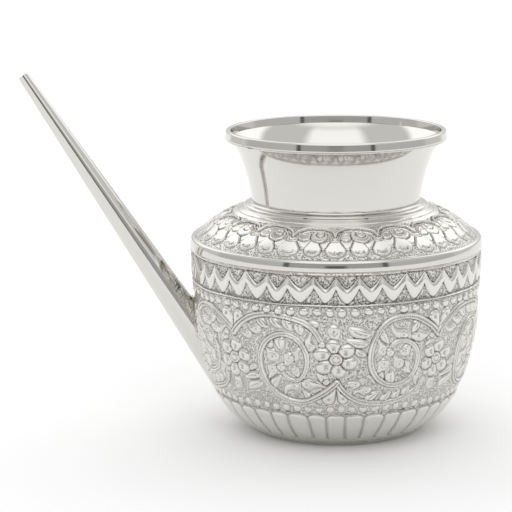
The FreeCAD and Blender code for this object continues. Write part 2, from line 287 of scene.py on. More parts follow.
class ChasedSheet:
    """One repeat of a chased border, unrolled: x wraps round the pot and y runs up the wall, in mm."""

    def __init__(self, chasing, width, low, high, grid=GRID):
        self.rise, self.floor = chasing.rise / MM, chasing.ground / MM
        self.line, self.cut = chasing.outline / MM, chasing.outline_depth / MM
        self.width = width
        self.columns = round(width / grid)
        self.x = np.arange(self.columns) * width / self.columns
        self.y = np.linspace(low, high, round((high - low) / grid) + 1)
        self.height = np.full((len(self.y), self.columns), -self.floor)
        self.ground = np.ones_like(self.height)

    def window(self, spine, reach):
        """Part of the sheet within reach of a spine, with x unwrapped about the spine's middle."""
        low, high = spine.min(0) - reach, spine.max(0) + reach
        middle = (low[0] + high[0]) / 2
        offset = (self.x - middle + self.width / 2) % self.width - self.width / 2
        columns = np.flatnonzero(np.abs(offset) <= (high[0] - low[0]) / 2)
        rows = np.flatnonzero((self.y >= low[1]) & (self.y <= high[1]))
        return np.ix_(rows, columns), middle + offset[columns], self.y[rows][:, None]

    def gap(self, spine, radii):
        """Part of the sheet near a row of discs, and the distance outside them, negative inside."""
        spine = np.atleast_2d(np.asarray(spine, float))
        radii = np.broadcast_to(radii, len(spine))
        part, x, y = self.window(spine, radii.max() + 4 * self.line)
        gap = np.full((len(y), len(x)), np.inf)
        for (px, py), radius in zip(spine, radii):
            np.minimum(gap, np.hypot(x - px, y - py) - radius, out=gap)
        return part, gap

    def swell(self, spine, radii, rise=1.0, shoulder=1.0, tilt=0.0):
        """Raise a form over what is there, with a chased line round it. tilt lifts its lower edge."""
        part, gap = self.gap(spine, radii)
        fill = np.clip(-gap / shoulder, 0, 1)
        lean = tilt * (np.mean(np.atleast_2d(spine)[:, 1]) - self.y[part[0]])
        crown = (self.rise * rise + lean) * (2 - fill) * fill
        groove = self.cut * soft(np.maximum(gap, 0), self.line)
        old = self.height[part]
        self.height[part] = np.where(gap < 0, crown - self.floor - self.cut, old - groove)
        self.ground[part] *= np.clip((gap - self.line) / self.line, 0, 1)

    def chase(self, spine, width, depth):
        """Sink a soft line or, for one point, a dimple."""
        part, gap = self.gap(spine, 0.0)
        self.height[part] -= depth * soft(gap, width)

    def stem(self, spine, half_width):
        """Flat stem with a groove along it, a little left of its middle."""
        self.swell(spine, half_width, 1.0, 0.6 * np.max(half_width))
        heading = np.gradient(spine, axis=0)
        side = np.stack([-heading[:, 1], heading[:, 0]], 1) / np.hypot(*heading.T)[:, None]
        aside = 0.15 * np.broadcast_to(half_width, len(spine))
        self.chase(spine + side * aside[:, None], GROOVE, GROOVE_DEPTH)

    def leaf(self, base, tip, fat, bend):
        """Pointed leaf with a vein. fat is its half width."""
        spine, t = bent(base, tip, bend)
        self.swell(spine, LEAF_TIP + fat * np.sin(math.pi * t ** 0.75) ** 0.8, 1.0, 0.8 * fat)
        self.chase(spine[3:17], VEIN, VEIN_DEPTH)

    def comma(self, base, tip, fat, bend):
        """Leaf that swells to a round head, with a crescent and a dot punched inside the head."""
        spine, t = bent(base, tip, 1.5 * bend)
        self.swell(spine, COMMA_STALK + (fat - COMMA_STALK) * t ** 1.4, 1.05, 0.8 * fat)
        back = math.atan2(*(spine[12] - spine[-1])[::-1])
        arc = np.linspace(back - 2.0, back + 2.0, 14)
        self.chase(spine[-1] + 0.56 * fat * circle(arc), VEIN, CRESCENT_DEPTH)
        self.chase([spine[-1]], 0.3 * fat, DOT_DEPTH)

    def bud(self, centre, radius):
        """Round boss with a punched dimple."""
        self.swell([centre], radius, 1.0, 0.8 * radius)
        self.chase([centre], radius * 0.4, BUD_DEPTH)


def bent(base, tip, bend, count=24):
    """Spine from base to tip that bows to the left by a share of its length, and the shares along it."""
    base, tip = np.asarray(base, float), np.asarray(tip, float)
    run = tip - base
    spine = bezier(base, (base + tip) / 2 + bend * np.array([-run[1], run[0]]), tip, count)
    return spine, np.linspace(0, 1, count)


# The scroll frieze, drawn about the middle of its height

SPIRAL_CENTRE = np.array([20.8, 0.4])
SPIRAL_SQUEEZE = 0.88       # the volute is a little narrower than tall
SPIRAL_START, SPIRAL_END = math.radians(58), math.radians(496)
SPIRAL_OUTER, SPIRAL_INNER = 16.3, 3.4
SPIRAL_WAVE = 0.16          # the volute closes in quickly at both ends and slowly between
STEM = 1.25                 # half width of a stem at its root
FLOWER_RAISE = 1.5          # flowers stand a little to the far side of the stems that they spring from
JUNCTION = 7.4              # from the middle height to the joint of two stems
BOW_LOW = (16.8, -16.1)     # lowest place of the bow from one flower to the next
FAN_LOBES = ((-54, 6.8, 1.3), (54, 6.8, 1.3), (-25, 6.2, 2.3), (25, 6.2, 2.3))  # degrees, length, half width
PETALS = 6
PETAL_SPINE, PETAL_WIDTHS = (3.3, 4.4, 4.9), (1.9, 2.6, 2.5)    # from the flower's middle, and half widths
BOSS, BOSS_RING = 2.3, 1.2  # radii of the flower's boss and of the ring cut into it


def spiral(angle):
    """Point of the volute's centre line."""
    share = (np.asarray(angle) - SPIRAL_START) / (SPIRAL_END - SPIRAL_START)
    share = share + SPIRAL_WAVE * np.sin(2 * math.pi * share)
    radius = SPIRAL_OUTER + (SPIRAL_INNER - SPIRAL_OUTER) * share
    return SPIRAL_CENTRE + np.stack([radius * np.cos(angle) * SPIRAL_SQUEEZE, radius * np.sin(angle)], -1)


def draw_scroll(sheet, pitch, put, flip):
    """Volute, bow and leaves between two flowers. put places a point of this half of the repeat."""
    volute = spiral(np.linspace(SPIRAL_START, SPIRAL_END, 150))
    lead = bezier((pitch, JUNCTION), (pitch - 3.0, JUNCTION + 3.6), volute[0], 40)
    volute = np.concatenate([lead[:-1], volute])
    bow_end = (pitch - 4.4, -6.4)
    bow = np.concatenate([bezier((0, -JUNCTION), (4.2, -15.0), BOW_LOW, 40),
                          bezier(BOW_LOW, (30.4, -16.0), bow_end, 40)])

    def leaves(draw, origin, places):
        """Draw leaves about an origin: base, tip, half width and bend of each."""
        for bx, by, tx, ty, fat, bend in places:
            draw(put(np.add(origin, (bx, by))), put(np.add(origin, (tx, ty))), fat, bend * flip)

    leaves(sheet.comma, SPIRAL_CENTRE, (
        (-9.8, 7.0, -5.2, 3.0, 2.0, 0.35), (-1.6, 14.2, 2.6, 8.6, 2.1, -0.3),
        (14.6, 10.4, 7.8, 7.6, 2.5, 0.3), (8.2, 4.6, 3.4, 2.6, 1.9, -0.35),
        (7.4, -5.4, 3.4, -2.4, 2.0, 0.3), (-9.4, -4.4, -4.6, -1.6, 2.3, -0.4),
        (-2.6, 2.2, 1.2, -1.6, 2.2, 0.2)))
    leaves(sheet.leaf, SPIRAL_CENTRE, (
        (-6.4, 11.6, -2.2, 5.4, 1.7, -0.2), (7.6, 13.4, 5.6, 8.8, 1.4, 0.2),
        (-1.6, -9.6, -1.4, -3.8, 1.9, 0.15), (-5.6, -8.0, -4.8, -4.4, 1.4, 0.2),
        (13.6, 6.8, 11.2, 3.2, 1.5, 0.3)))
    leaves(sheet.comma, (0, 0), (
        (2.6, -10.6, 7.2, -8.6, 1.9, 0.4), (6.6, -13.4, 11.0, -10.6, 2.0, 0.4)))
    leaves(sheet.comma, (pitch, 0), (
        (-6.6, -11.6, -8.2, -5.6, 1.8, 0.3), (-4.4, -6.4, -0.6, -11.6, 2.3, 0.4)))
    leaves(sheet.leaf, (0, 0), (
        (11.6, -15.2, 15.4, -11.2, 1.6, 0.2), (16.6, -16.0, 19.8, -11.6, 1.6, 0.2),
        (21.4, -15.8, 23.6, -11.0, 1.7, 0.2), (26.0, -14.6, 27.2, -9.6, 1.7, 0.2),
        (10.6, 9.4, 4.2, 13.2, 1.9, 0.2), (10.0, 6.4, 3.4, 9.0, 1.7, 0.2),
        (9.6, 2.6, 6.0, 5.2, 1.2, 0.2)))
    leaves(sheet.leaf, (pitch, 0), ((-9.6, -13.2, -5.8, -13.8, 1.5, 0.2),))
    sheet.bud(put(SPIRAL_CENTRE + (14.0, 6.6)), 1.2)
    for stem, thin in ((bow, 0.75), (volute, 0.65)):
        sheet.stem(put(stem), STEM * np.linspace(1, thin, len(stem)))
    sheet.bud(put(volute[-1]), 1.7)
    sheet.bud(put(bow_end), 1.3)


def draw_fan(sheet, put):
    """Palmette of four lobes that spread from the joint of a flower's two stems."""
    joint = np.array([0, -JUNCTION - 0.8])
    for degrees, length, fat in FAN_LOBES:
        tip = joint + length * circle(math.radians(degrees - 90))
        spine = np.linspace(joint, tip, 14)
        sheet.swell(put(spine), np.linspace(0.3, fat, 14), 1.0, 1.0)
        sheet.chase([put(tip)], 0.6, DOT_DEPTH)


def draw_flower(sheet, put):
    """Six dimpled petals round a ringed boss."""
    centre = np.array([0, FLOWER_RAISE])
    for k in range(PETALS):
        out = circle(math.radians(100 + k * 360 / PETALS))
        sheet.swell(put(centre + np.outer(PETAL_SPINE, out)), PETAL_WIDTHS, 1.1, 1.6)
        sheet.chase([put(centre + 4.1 * out)], 0.9, 0.55)
    sheet.swell([put(centre)], BOSS, 1.15, 0.8)
    sheet.chase(put(centre + BOSS_RING * circle(np.linspace(0, 2 * math.pi, 30))), 0.3, 0.42)


def frieze_sheet(chasing, wall, low, high, mean_radius):
    """Two flowers with their scrolls, and the bead rows that edge them."""
    width = 2 * math.pi * mean_radius / chasing.flower_pairs
    sheet = ChasedSheet(chasing, width, low, high)
    middle = wall.at_height(FRIEZE_MIDDLE)
    pitch = width / 2

    def placer(x, side):
        """Way to set a point of the drawing on the sheet, upside down where side is -1."""
        return lambda points: np.asarray(points, float) * (1, side) + (x, middle)

    halves = [(placer(0, 1), 1), (placer(pitch, -1), -1)]
    for put, _ in halves:
        draw_fan(sheet, put)
    for put, flip in halves:
        draw_scroll(sheet, pitch, put, flip)
    for put, _ in halves:
        draw_flower(sheet, put)
    beads = chasing.bead_count // chasing.flower_pairs
    for height, rise in BEAD_ROWS:
        y = wall.at_height(height)
        for k in range(beads):
            sheet.swell([((k + 0.5) * width / beads, y)], BEAD, rise, 0.8)
    return sheet


def tongue_sheet(chasing, wall, low, high, mean_radius):
    """One lobe of the wavy border under the band: a broad smooth fold between two stippled grounds."""
    width = 2 * math.pi * mean_radius / chasing.tongue_count
    sheet = ChasedSheet(chasing, width, low, high)
    share = np.abs(sheet.x / width * 2 - 1)
    y = sheet.y[:, None]
    peak, valley, crest_low, tip = [wall.at_height(height) for height in (
        FOLD_PEAK, FOLD_VALLEY, FOLD_CREST, FOLD_TIP)]
    border_top = wall.at_height(BORDER_TOP)
    upper = valley + (peak - valley) * share ** FOLD_UPPER_BEND
    lower = tip + FOLD_LOWER_CLIMB * share ** FOLD_LOWER_BEND
    crest = crest_low + FOLD_CREST_CLIMB * (0.5 - 0.5 * np.cos(share * math.pi))
    below = np.clip((y - lower) / (crest - lower), 0, 1)
    above = np.clip((upper - y) / (upper - crest), 0, 1)
    inside = (y > lower) & (y < upper)
    fold = np.where(y < crest, np.sqrt(below * (2 - below)), 0.3 + 0.7 * above)
    sheet.height[inside] += (FOLD_RISE * sheet.rise * fold)[inside]
    sheet.ground[inside] = 0
    edge = np.minimum(np.abs(y - upper), np.abs(y - lower))
    sheet.height -= 0.5 * sheet.cut * soft(edge, sheet.line)
    sheet.height += ECHO_LIFT * soft(y - upper - ECHO_OFF, ECHO)
    wire = np.clip(np.abs(y - wall.at_height(WIRE_HEIGHT)) / WIRE, 0, 1)
    sheet.height = np.where(wire < 1, WIRE_LIFT * np.sqrt(1 - wire ** 2) - sheet.floor, sheet.height)
    sheet.height = np.where(y > border_top, BORDER_PLAIN, sheet.height)
    sheet.ground = np.where((wire < 1) | (y > border_top), 0, sheet.ground)
    return sheet


def flute_sheet(chasing, wall, low, high, mean_radius):
    """One lobe of the fluted bottom, rounded at its top, and the plain margin under it."""
    width = 2 * math.pi * mean_radius / chasing.flute_count
    sheet = ChasedSheet(chasing, width, low, high, FLUTE_GRID)
    aside = (sheet.x / width * 2 + 1) % 2 - 1
    y = sheet.y[:, None]
    end = FLUTE_ROUND * (1 - np.sqrt(1 - 0.97 * aside ** 2))
    top, foot = wall.at_height(FLUTE_TOP) - end, wall.at_height(FLUTE_FOOT) + 0.5 * end
    lobe = 1 - soft(1 - np.abs(aside), FLUTE_GAP) - FLUTE_FALL * aside ** 2
    ends = np.clip((top - y) / FLUTE_TOP_EASE, 0, 1) * np.clip((y - foot) / FLUTE_FOOT_EASE, 0, 1)
    ends = ends * (2 - ends)
    sheet.height = FLUTE_FLOOR + FLUTE_LIFT * lobe * ends - FLUTE_EDGE_CUT * soft(y - top, FLUTE_EDGE)
    margin = MARGIN_LIFT - MARGIN_CUT * soft(y - foot, MARGIN_EDGE)
    sheet.height = np.where(y < foot, margin, sheet.height)
    sheet.ground[:] = np.clip((y - top) / 0.4, 0, 1)
    return sheet


def shoulder_sheet(chasing, wall, low, high, mean_radius):
    """One arch of the shoulder: a scallop line over three staggered rows of flat scales."""
    width = 2 * math.pi * mean_radius / chasing.arch_count
    sheet = ChasedSheet(chasing, width, low, high)
    half = width / 2

    def scale(x, top, bottom, shape, rise, ring=(-2.6, -0.5), tilt=0.07, pricked=False):
        """Scale that hangs from a radius to a larger one. shape is its half width above and below, and
        ring gives the angles of the line curled inside it."""
        radii = np.linspace(top, bottom - shape[1], 6)
        spine = np.array([(x, wall.at_radius(radius)) for radius in radii])
        broad = np.linspace(*shape, 6)
        sheet.swell(spine, broad, rise, SCALE_EDGE, tilt)
        curl = spine[-1] + 0.5 * shape[1] * circle(np.linspace(*ring, 12))
        sheet.chase(curl, SCALE_LINE, SCALE_LINE)
        if pricked:
            part, gap = sheet.gap(spine, broad)
            below = (gap < -PRICK_MARGIN) & (sheet.y[part[0]] < spine[-1, 1] - 0.2 * shape[1])
            sheet.ground[part] = np.where(below, PRICK, sheet.ground[part])

    for x in (-half / 2, half / 2):
        scale(x, 41.6, 46.4, (2.9, 1.5), 0.5, tilt=-0.03)
    for x in (0, half):
        scale(x, 43.4, 49.3, (1.6, 3.0), 0.95, tilt=-0.06, pricked=True)
    scale(half, 40.8, 43.6, (1.6, 1.9), 0.55)
    scale(-0.52 * half, 39.6, 43.2, (1.7, 2.1), 0.6, (0.6, 2.6))
    scale(0.2 * half, 39.0, 44.2, (2.7, 3.3), 0.7, (0.4, 3.0))
    scale(0.26 * half, 38.9, 41.6, (1.3, 1.6), 0.8, (0.4, 3.0))
    for inset, rise, half_width in ARCH_LINES:
        reach = half - inset
        places = [(x, wall.at_radius(radius + inset)) for x, radius in (
            (-reach, ARCH_FOOT), (-0.9 * reach, ARCH_TOP - 0.2), (0, ARCH_TOP),
            (0.9 * reach, ARCH_TOP - 0.2), (reach, ARCH_FOOT))]
        line = np.concatenate([bezier(*places[:3]), bezier(*places[2:])])
        sheet.swell(line, half_width, rise, 0.4)
    y = sheet.y[:, None]
    for radius, side in ((SHOULDER_INNER, 1), (SHOULDER_OUTER, -1)):
        plain = (y - wall.at_radius(radius)) * side > 0
        sheet.height = np.where(plain, SHOULDER_PLAIN, sheet.height)
        sheet.ground = np.where(plain, 0, sheet.ground)
    # two arches meet in the middle of the front
    sheet.height = np.roll(sheet.height, sheet.columns // 2, 1)
    sheet.ground = np.roll(sheet.ground, sheet.columns // 2, 1)
    return sheet


# Modelling helpers

def start(primitive, name, **settings):
    """Add a primitive with nothing else selected, and name it."""
    bpy.ops.object.select_all(action="DESELECT")
    primitive(**settings)
    piece = bpy.context.object
    piece.name = piece.data.name = name
    return piece


def modifier(piece, kind, **settings):
    """Add a modifier, set it and apply it."""
    new = piece.modifiers.new(kind.title(), kind)
    for key, value in settings.items():
        setattr(new, key, value)
    bpy.ops.object.modifier_apply(modifier=new.name)


CREASE, CHASED_CREASE = 40, 60      # degrees past which an edge stays sharp


def close_up(angle):
    """Merge the seams of the active mesh, turn its faces outwards and smooth all but its sharp edges."""
    bpy.ops.object.mode_set(mode="EDIT")
    bpy.ops.mesh.select_all(action="SELECT")
    bpy.ops.mesh.remove_doubles(threshold=0.002 * MM)
    bpy.ops.mesh.normals_make_consistent(inside=False)
    bpy.ops.object.mode_set(mode="OBJECT")
    bpy.ops.object.shade_smooth_by_angle(angle=math.radians(angle))


def hand_in(piece, slot, material, *nodes):
    """Give a finished piece its finish and its place in the frame."""
    piece.data.materials.clear()
    piece.data.materials.append(material)
    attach(piece, BODY)
    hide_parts(*nodes)


def spun_ring(name, section, steps=256):
    """Closed ring: a section drawn in (radius, height), in mm, and spun round the pot's axis."""
    piece = start(bpy.ops.mesh.primitive_circle_add, name, vertices=len(section), radius=1)
    flat = np.array([(r * MM, 0, z * MM) for r, z in section])
    piece.data.vertices.foreach_set("co", flat.ravel())
    bpy.ops.object.mode_set(mode="EDIT")
    bpy.ops.mesh.select_all(action="SELECT")
    bpy.ops.mesh.spin(steps=steps, angle=2 * math.pi, center=(0, 0, 0), axis=(0, 0, 1))
    bpy.ops.object.mode_set(mode="OBJECT")
    close_up(CREASE)
    return piece


def rounded(corners):
    """Section with its corners rounded: corners are (radius, height, rounding)."""
    points = []
    places = np.array([c[:2] for c in corners], float)
    for k, (_, _, fillet) in enumerate(corners):
        here = places[k]
        before, after = places[k - 1] - here, places[(k + 1) % len(places)] - here
        before, after = before / np.hypot(*before), after / np.hypot(*after)
        half = math.acos(np.clip(before @ after, -1, 1)) / 2
        reach = fillet / math.tan(half)
        points.extend(bezier(here + before * reach, here, here + after * reach, 6))
    return points


# Wander of hand work from an even pattern: its size and the margin in which it dies away, in mm, then
# waves that each have a whole number round the pot, a slant in radians per mm and a phase
SWAY_ACROSS, SWAY_UP, SWAY_MARGIN = 0.25, 0.175, 3.0
WAVES_ACROSS = ((7, 1 / 9, 0.0), (13, -1.3 / 9, 1.1), (19, 0.7 / 9, 4.0))
WAVES_UP = ((11, -1 / 9, 2.0), (17, 0.9 / 9, 0.0), (5, 0.0, 0.6))
# RECESS_DEPTH sets how deep a hollow is darkened all through, as tarnish and as painted shade
RECESS_DEPTH, RECESS_PASSES = 0.3, 6    # depth in mm that is dark all through, and how widely it is judged
INNER_ROWS = 12                         # rows of the plain inner face


def sway(along, angle):
    """Slow wander across and up a border, as two grids."""
    edge = np.clip(np.minimum(along - along[0], along[-1] - along) / SWAY_MARGIN, 0, 1)[:, None]

    def wander(waves):
        return sum(np.sin(count * angle + slant * along[:, None] + phase) for count, slant, phase in waves)

    return SWAY_ACROSS * wander(WAVES_ACROSS) * edge, SWAY_UP * wander(WAVES_UP) * edge


def hollows(height):
    """How far each place lies under its surroundings, from 0 to 1."""
    blur = height.copy()
    for _ in range(RECESS_PASSES):
        blur = (blur + np.roll(blur, 1, 1) + np.roll(blur, -1, 1)) / 3
        blur[1:-1] = (blur[1:-1] + blur[:-2] + blur[2:]) / 3
    return np.clip((blur - height) / RECESS_DEPTH, 0, 1)


def chased_ring(name, sheet, wall, repeats, back, triangles):
    """Ring of chased sheet: a fine grid wrapped round the wall, with a plain inner face."""
    height, ground = np.tile(sheet.height, repeats), np.tile(sheet.ground, repeats)
    columns = height.shape[1]
    angle = 2 * math.pi * np.arange(columns) / columns - math.pi / 2
    across, up = sway(sheet.y, angle)
    inner = np.linspace(sheet.y[-1], sheet.y[0], INNER_ROWS)[:, None] + np.zeros(columns)
    along = np.concatenate([sheet.y[:, None] + up, inner])
    lift = np.concatenate([height, np.full(inner.shape, -back)])
    radius, tall = wall.lifted(along, lift)
    turn = angle + np.concatenate([across, np.zeros(inner.shape)]) / np.maximum(radius, 1)
    # recess darkens the colour in the material, as tarnish in the hollows and as their painted shade
    recess = np.concatenate([hollows(height), np.zeros(inner.shape)])
    ground = np.concatenate([ground, np.zeros(inner.shape)])
    closed = np.ix_(np.append(np.arange(len(along)), 0), np.append(np.arange(columns), 0))
    piece = start(bpy.ops.mesh.primitive_grid_add, name, x_subdivisions=columns, y_subdivisions=len(along))
    place = np.stack([radius * np.cos(turn), radius * np.sin(turn), tall], -1)[closed] * MM
    piece.data.vertices.foreach_set("co", place.ravel())
    for label, values in (("recess", recess), ("ground", ground)):
        layer = piece.data.attributes.new(label, "FLOAT", "POINT")
        layer.data.foreach_set("value", values[closed].ravel())
    close_up(CHASED_CREASE)
    count = 2 * len(along) * columns
    if count > triangles:
        modifier(piece, "DECIMATE", ratio=triangles / count)
    return piece


# Materials

def add(tree, kind, links=None, **settings):
    """Add a node. settings are its own, and links gives each input a value or another node's output."""
    new = tree.nodes.new(kind)
    for key, value in settings.items():
        setattr(new, key, value)
    for socket, value in (links or {}).items():
        if isinstance(value, bpy.types.NodeSocket):
            tree.links.new(value, new.inputs[socket])
        else:
            new.inputs[socket].default_value = value
    return new


def new_material(name):
    """Material with an empty node tree, and the tree."""
    material = bpy.data.materials.new(name)
    material.use_nodes = True
    material.node_tree.nodes.clear()
    return material, material.node_tree


def finish_material(tree, links):
    """End a metal's tree with its shader."""
    shader = add(tree, "ShaderNodeBsdfPrincipled", {"Metallic": 1.0, **links})
    add(tree, "ShaderNodeOutputMaterial", {"Surface": shader.outputs[0]})


def chased_silver(chasing, finish):
    """Sterling silver, chased by hand: bright rubbed tops, and hollows, punch marks and ground darkened
    towards the patina colour, partly as tarnish and partly as painted shade.
    """
    material, tree = new_material("sterling_silver_chased")
    place = add(tree, "ShaderNodeTexCoord").outputs["Object"]
    recess = add(tree, "ShaderNodeAttribute", attribute_name="recess").outputs["Fac"]
    ground = add(tree, "ShaderNodeAttribute", attribute_name="ground").outputs["Fac"]
    marks = add(tree, "ShaderNodeTexVoronoi", {"Vector": place, "Scale": 1 / chasing.stipple})
    pits = add(tree, "ShaderNodeMapRange", {"Value": marks.outputs["Distance"], "From Max": 0.55,
                                            "To Min": 1.0, "To Max": 0.0})
    dents = add(tree, "ShaderNodeMath", {0: pits.outputs[0], 1: ground}, operation="MULTIPLY")
    # Painted shade and tarnish: punch marks, punched ground and hollows are darkened towards the patina
    # colour, and made matt
    hollow_tarnish_and_shade = add(tree, "ShaderNodeMath", {0: ground, 1: 0.14, 2: recess}, operation="MULTIPLY_ADD")
    tarnish_and_painted_shade = add(tree, "ShaderNodeMath", {0: dents.outputs[0], 1: 0.65, 2: hollow_tarnish_and_shade.outputs[0]},
               operation="MULTIPLY_ADD", use_clamp=True)
    tone = add(tree, "ShaderNodeMix", {"Factor": tarnish_and_painted_shade.outputs[0], 6: (*finish.silver, 1),
                                       7: (*finish.patina_and_shade, 1)}, data_type="RGBA")
    matt = add(tree, "ShaderNodeMapRange", {"Value": tarnish_and_painted_shade.outputs[0], "To Min": 0.2, "To Max": 0.45})
    bump = add(tree, "ShaderNodeBump", {"Height": dents.outputs[0], "Distance": 0.4 * MM, "Strength": 1.0},
               invert=True)
    finish_material(tree, {"Base Color": tone.outputs[2], "Roughness": matt.outputs[0],
                           "Normal": bump.outputs[0]})
    return material


def polished_silver(finish):
    """Sterling silver, spun and buffed: a mirror with faint hammer waves and hairline swirls."""
    material, tree = new_material("sterling_silver_buffed")
    place = add(tree, "ShaderNodeTexCoord").outputs["Object"]
    waves = add(tree, "ShaderNodeTexNoise", {"Vector": place, "Scale": 1 / (9 * MM), "Detail": 1.0})
    # real hairlines are finer and are drawn this coarse to show
    hairs = add(tree, "ShaderNodeTexNoise", {"Vector": place, "Scale": 1 / (0.8 * MM), "Detail": 3.0})
    gloss = add(tree, "ShaderNodeMapRange", {"Value": hairs.outputs[0], "To Min": 0.05, "To Max": 0.13})
    bump = add(tree, "ShaderNodeBump", {"Height": waves.outputs[0], "Distance": 0.02 * MM, "Strength": 0.5})
    finish_material(tree, {"Base Color": (*finish.buffed, 1), "Roughness": gloss.outputs[0],
                           "Normal": bump.outputs[0]})
    return material


def solder_silver(finish):
    """Hard silver solder, flowed and left as it cooled: duller than the sheet and faintly pitted."""
    material, tree = new_material("silver_solder_flowed")
    place = add(tree, "ShaderNodeTexCoord").outputs["Object"]
    pits = add(tree, "ShaderNodeTexNoise", {"Vector": place, "Scale": 1 / (0.7 * MM), "Detail": 2.0})
    matt = add(tree, "ShaderNodeMapRange", {"Value": pits.outputs[0], "To Min": 0.18, "To Max": 0.4})
    bump = add(tree, "ShaderNodeBump", {"Height": pits.outputs[0], "Distance": 0.05 * MM, "Strength": 0.6})
    finish_material(tree, {"Base Color": (*finish.solder, 1), "Roughness": matt.outputs[0],
                           "Normal": bump.outputs[0]})
    return material


def silver(kind):
    """One of the pot's three materials, made when it is first asked for."""
    scene = bpy.context.scene
    made = {"chased": lambda: chased_silver(scene.pot_chasing, scene.pot_finish),
            "polished": lambda: polished_silver(scene.pot_finish),
            "solder": lambda: solder_silver(scene.pot_finish)}
    key = "pot_" + kind
    if key not in scene:
        scene[key] = made[kind]().name
    return bpy.data.materials[scene[key]]


# Sections of the plain rings, in mm

BAND_LAP, LIP_PROUD = 0.6, 0.3      # band inside the seam's radius, and lip outside the CAD ring's


def foot_section(sizes):
    """Foot ring: an upright inner face, an outer one that leans out to the bowl, and eased edges."""
    inner = (sizes.foot_radius - sizes.foot_width) / MM
    seat, top = sizes.seat_radius / MM, sizes.seat_height / MM
    return rounded([(inner, 0, 0.3), (sizes.foot_radius / MM, 0, 0.3), (seat, top, 0.2), (inner, top, 0.2)])


def band_section(sizes):
    """Shoulder band: a faintly bowed face that rolls over into the top."""
    low, high, outer = sizes.band_bottom / MM, sizes.band_top / MM, sizes.brow_radius / MM
    inner = sizes.seam_radius / MM - BAND_LAP
    tall = high - low
    face = bezier((outer - 0.02, low), (outer + 0.02, low + 0.4 * tall), (outer - 0.3, low + 0.74 * tall), 12)
    brow = bezier(face[-1], (outer - 0.45, low + 0.97 * tall), (outer - 1.0, high), 12)
    return [(inner, low), *face, *brow[1:], (inner, high)]


def rim_section(sizes):
    """Lip ring: a groove under the lip, an upright face and two rounded top edges."""
    mouth, top, edge = sizes.mouth_height / MM, sizes.rim_top / MM, sizes.rim_radius / MM + LIP_PROUD
    inside = (sizes.mouth_radius - sizes.wall) / MM
    groove = [(edge - 1.0, mouth - 0.6), (edge - 0.5, mouth - 0.6), (edge - 0.35, mouth - 0.3),
              (edge - 0.6, mouth)]
    lip = [(edge - 0.1, mouth), (edge, mouth + 0.2), (edge - 0.06, mouth + 0.5),
           *bezier((edge - 0.35, top - 0.6), (edge - 0.43, top), (edge - 0.9, top), 10)]
    crown = bezier((inside + 0.5, top), (inside + 0.2, top), (inside + 0.15, top - 0.3), 8)
    return [(inside - 0.2, mouth + 0.4), *groove, *lip, *crown]


# Low ring round the neck, outwards and down from the neck's root. Points stand close together at each
# bend, so that smooth shading leaves the faces between them flat.
MOULDING = (
    (4.9, 4.9), (4.9, 4.0), (4.4, 3.75), (3.8, 3.6), (3.3, 3.5),    # foot on the dome
    (2.95, 3.42), (2.76, 3.32), (2.7, 3.2),                         # hollow
    (2.68, 3.1), (2.6, 2.65),                                       # upright face
    (2.57, 2.55), (2.48, 2.42), (2.25, 2.28),                       # rounded edge
    (1.85, 2.17), (1.3, 2.08), (0.7, 2.02),                         # flat top
    (0.35, 1.95), (0.1, 1.8), (-0.05, 1.6), (-0.12, 1.35),          # cove
    (-0.5, 1.3), (-0.5, 3.4))                                       # inside the neck's wall


def moulding_section(sizes):
    """Low ring round the neck: a flat foot, an upright face, a flat top and a cove."""
    root = np.array([sizes.root_radius, sizes.root_height]) / MM
    return [root + (out, -down) for out, down in MOULDING]


# Operators

class BowlOperator(bpy.types.Operator):
    """Model the chased bowl: fluted bottom, scroll frieze and wavy border"""

    bl_idname = "water_pot.bowl"
    bl_label = "Chased bowl"

    def execute(self, context):
        sizes, chasing = context.scene.pot_sizes, context.scene.pot_chasing
        wall = bowl_profile(sizes)
        low_edge, high_edge = wall.at_height(FRIEZE_LOW), wall.at_height(FRIEZE_HIGH)
        end = wall.along[-1]
        jobs = (
            ("bowl_fluted_bottom", flute_sheet, 0.0, low_edge, FLUTE_MEAN, chasing.flute_count,
             FLUTE_TRIANGLES),
            ("bowl_scroll_frieze", frieze_sheet, low_edge, high_edge, FRIEZE_MEAN, chasing.flower_pairs,
             FRIEZE_TRIANGLES),
            ("bowl_wavy_border", tongue_sheet, high_edge, end, BORDER_MEAN, chasing.tongue_count,
             BORDER_TRIANGLES))
        for name, draw, low, high, mean, repeats, triangles in jobs:
            sheet = draw(chasing, wall, low, high, mean)
            piece = chased_ring(name, sheet, wall, repeats, BOWL_BACK, triangles)
            hand_in(piece, "chased_silver", silver("chased"), "bowl")
        return {"FINISHED"}


class ShoulderOperator(bpy.types.Operator):
    """Model the chased shoulder dome"""

    bl_idname = "water_pot.shoulder"
    bl_label = "Chased shoulder"

    def execute(self, context):
        sizes, chasing = context.scene.pot_sizes, context.scene.pot_chasing
        wall = dome_profile(sizes)
        sheet = shoulder_sheet(chasing, wall, 0.0, wall.along[-1], SHOULDER_MEAN)
        piece = chased_ring("shoulder_dome_chased", sheet, wall, chasing.arch_count, SHOULDER_BACK,
                            SHOULDER_TRIANGLES)
        hand_in(piece, "chased_silver", silver("chased"), "shoulder_dome")
        return {"FINISHED"}


class RingOperator(bpy.types.Operator):
    """Spin the plain rings: foot, shoulder band, neck ring and lip"""

    bl_idname = "water_pot.rings"
    bl_label = "Polished rings"

    def execute(self, context):
        sizes = context.scene.pot_sizes
        for name, section, nodes in (
                ("foot_ring_polished", foot_section(sizes), ["foot_ring"]),
                ("shoulder_band_polished", band_section(sizes), ["shoulder_band"]),
                ("rim_ring_polished", rim_section(sizes), ["rim_ring"]),
                ("neck_ring_moulding", moulding_section(sizes), ["neck_ring", "neck_solder"])):
            piece = spun_ring(name, section)
            hand_in(piece, "polished_silver", silver("polished"), *nodes)
        return {"FINISHED"}


